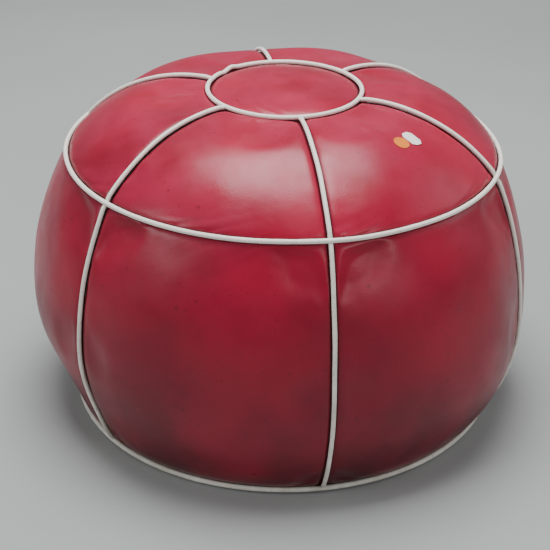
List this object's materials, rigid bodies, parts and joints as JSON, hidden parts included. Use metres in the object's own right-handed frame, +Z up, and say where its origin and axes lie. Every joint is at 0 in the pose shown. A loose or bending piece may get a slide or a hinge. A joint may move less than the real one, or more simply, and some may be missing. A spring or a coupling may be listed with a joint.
{
  "type": "round leather pouf",
  "caption": "Round floor pouf in crimson leather gores with cream piped seams, a domed top disc, a stuffed liner bag and a zipped base.",
  "frame": {"origin": "centre of the footprint, on the floor", "axes": "+Z up along the pouf's axis; -Y towards a gore seam; the base zip runs along X"},
  "size_m": [0.496, 0.503, 0.324],
  "materials": {
    "cover_leather": "satin crimson leather",
    "base_leather": "matt pale grey leathercloth",
    "piping_leather": "satin cream leather",
    "cord_cotton": "matt cotton",
    "sewing_thread": "waxed thread",
    "liner_calico": "matt unbleached calico",
    "stuffing_wadding": "matt wadding",
    "zip_tape": "woven tape",
    "zip_brass": "satin brass",
    "dot_paper": "matt orange paper",
    "label_paper": "matt white paper"
  },
  "bodies": {
    "cover": {"base_half_front": "base_leather", "base_half_rear": "base_leather", "base_ring_cord": "cord_cotton", "base_ring_piping": "piping_leather", "base_ring_thread": "sewing_thread", "disc_ring_cord": "cord_cotton", "disc_ring_piping": "piping_leather", "disc_ring_thread": "sewing_thread", "liner_base": "liner_calico", "liner_top": "liner_calico", "liner_wall": "liner_calico", "lot_label": "label_paper", "price_dot": "dot_paper", "shoulder_ring_cord": "cord_cotton", "shoulder_ring_piping": "piping_leather", "shoulder_ring_thread": "sewing_thread", "side_gore_1": "cover_leather", "side_gore_2": "cover_leather", "side_gore_3": "cover_leather", "side_gore_4": "cover_leather", "side_gore_5": "cover_leather", "side_gore_6": "cover_leather", "side_seam_cords": "cord_cotton", "side_seam_piping_1": "piping_leather", "side_seam_piping_2": "piping_leather", "side_seam_piping_3": "piping_leather", "side_seam_piping_4": "piping_leather", "side_seam_piping_5": "piping_leather", "side_seam_piping_6": "piping_leather", "side_seam_threads": "sewing_thread", "stuffing": "stuffing_wadding", "top_disc": "cover_leather", "top_gore_1": "cover_leather", "top_gore_2": "cover_leather", "top_gore_3": "cover_leather", "top_gore_4": "cover_leather", "top_gore_5": "cover_leather", "top_gore_6": "cover_leather", "top_seam_cords": "cord_cotton", "top_seam_piping_1": "piping_leather", "top_seam_piping_2": "piping_leather", "top_seam_piping_3": "piping_leather", "top_seam_piping_4": "piping_leather", "top_seam_piping_5": "piping_leather", "top_seam_piping_6": "piping_leather", "top_seam_threads": "sewing_thread", "zip_bottom_stop": "zip_brass", "zip_tape_front": "zip_tape", "zip_tape_rear": "zip_tape", "zip_teeth_front": "zip_brass", "zip_teeth_rear": "zip_brass", "zip_top_stops": "zip_brass", "zip_topstitch": "sewing_thread"},
    "slider": {"zip_slider": "zip_brass", "pull_pin": "zip_brass"},
    "tab": {"pull_tab": "zip_brass"}
  },
  "joints": [
    {"name": "zip_slide", "type": "slide", "parent": "cover", "child": "slider", "axis": [1, 0, 0], "range_m": [-0.25, 0]},
    {"name": "pull_tab_swing", "type": "hinge", "parent": "slider", "child": "tab", "pos_m": [0.13, 0, 0.0069], "axis": [0, 1, 0], "range_deg": [-180, 0]}
  ]
}
